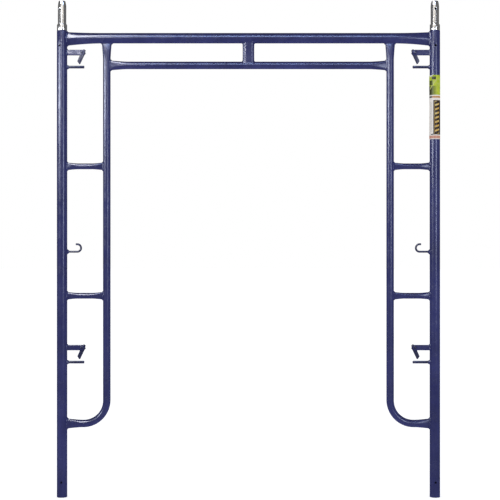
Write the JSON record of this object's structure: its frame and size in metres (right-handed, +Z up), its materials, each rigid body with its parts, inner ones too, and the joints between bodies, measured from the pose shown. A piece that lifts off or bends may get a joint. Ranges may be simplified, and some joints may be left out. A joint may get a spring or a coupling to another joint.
{
  "type": "frame scaffold section",
  "caption": "Welded walk-through scaffold frame: tube legs under a header and ledger, inner ladder posts with rungs, gravity brace locks, rod hooks and lift-out coupling pins.",
  "frame": {"origin": "centre of the footprint, on the plane the two feet stand on", "axes": "X across the width with the label on the +X leg, Y through the depth with the front at -Y, +Z up along the legs"},
  "size_m": [1.5668, 0.0428, 2.0264],
  "materials": {
    "blue_paint": "deep blue semi-gloss enamel on welded steel tube",
    "dark_paint": "the same enamel, thinner and darker, on rod and small steel parts",
    "zinc": "bright zinc-plated steel",
    "label_print": null
  },
  "bodies": {
    "frame": {"left_leg": "blue_paint", "right_leg": "blue_paint", "header": "blue_paint", "ledger": "blue_paint", "header_spacer": "blue_paint", "left_inner_post": "blue_paint", "right_inner_post": "blue_paint", "left_lower_rung": "blue_paint", "left_upper_rung": "blue_paint", "right_lower_rung": "blue_paint", "right_upper_rung": "blue_paint", "left_hook": "dark_paint", "right_hook": "dark_paint", "label": "label_print", "left_lower_lock_channel": "blue_paint", "left_lower_brace_stud": "dark_paint", "left_lower_lever_rivet": "dark_paint", "left_upper_lock_channel": "blue_paint", "left_upper_brace_stud": "dark_paint", "left_upper_lever_rivet": "dark_paint", "right_lower_lock_channel": "blue_paint", "right_lower_brace_stud": "dark_paint", "right_lower_lever_rivet": "dark_paint", "right_upper_lock_channel": "blue_paint", "right_upper_brace_stud": "dark_paint", "right_upper_lever_rivet": "dark_paint"},
    "left_pin": {"left_coupling_pin": "zinc", "left_pin_collar": "zinc"},
    "right_pin": {"right_coupling_pin": "zinc", "right_pin_collar": "zinc"},
    "left_lower_lever": {"left_lower_lock_lever": "dark_paint"},
    "left_upper_lever": {"left_upper_lock_lever": "dark_paint"},
    "right_lower_lever": {"right_lower_lock_lever": "dark_paint"},
    "right_upper_lever": {"right_upper_lock_lever": "dark_paint"}
  },
  "joints": [
    {"name": "left_pin_lift", "type": "slide", "parent": "frame", "child": "left_pin", "axis": [0, 0, 1], "range_m": [0, 0.13]},
    {"name": "right_pin_lift", "type": "slide", "parent": "frame", "child": "right_pin", "axis": [0, 0, 1], "range_m": [0, 0.13]},
    {"name": "left_lower_lever_hinge", "type": "hinge", "parent": "frame", "child": "left_lower_lever", "pos_m": [-0.6805, 0, 0.6101], "axis": [0, 1, 0], "range_deg": [0, 60]},
    {"name": "left_upper_lever_hinge", "type": "hinge", "parent": "frame", "child": "left_upper_lever", "pos_m": [-0.6805, 0, 1.8162], "axis": [0, 1, 0], "range_deg": [0, 60]},
    {"name": "right_lower_lever_hinge", "type": "hinge", "parent": "frame", "child": "right_lower_lever", "pos_m": [0.6805, 0, 0.6101], "axis": [0, -1, 0], "range_deg": [0, 60]},
    {"name": "right_upper_lever_hinge", "type": "hinge", "parent": "frame", "child": "right_upper_lever", "pos_m": [0.6805, 0, 1.8162], "axis": [0, -1, 0], "range_deg": [0, 60]}
  ]
}
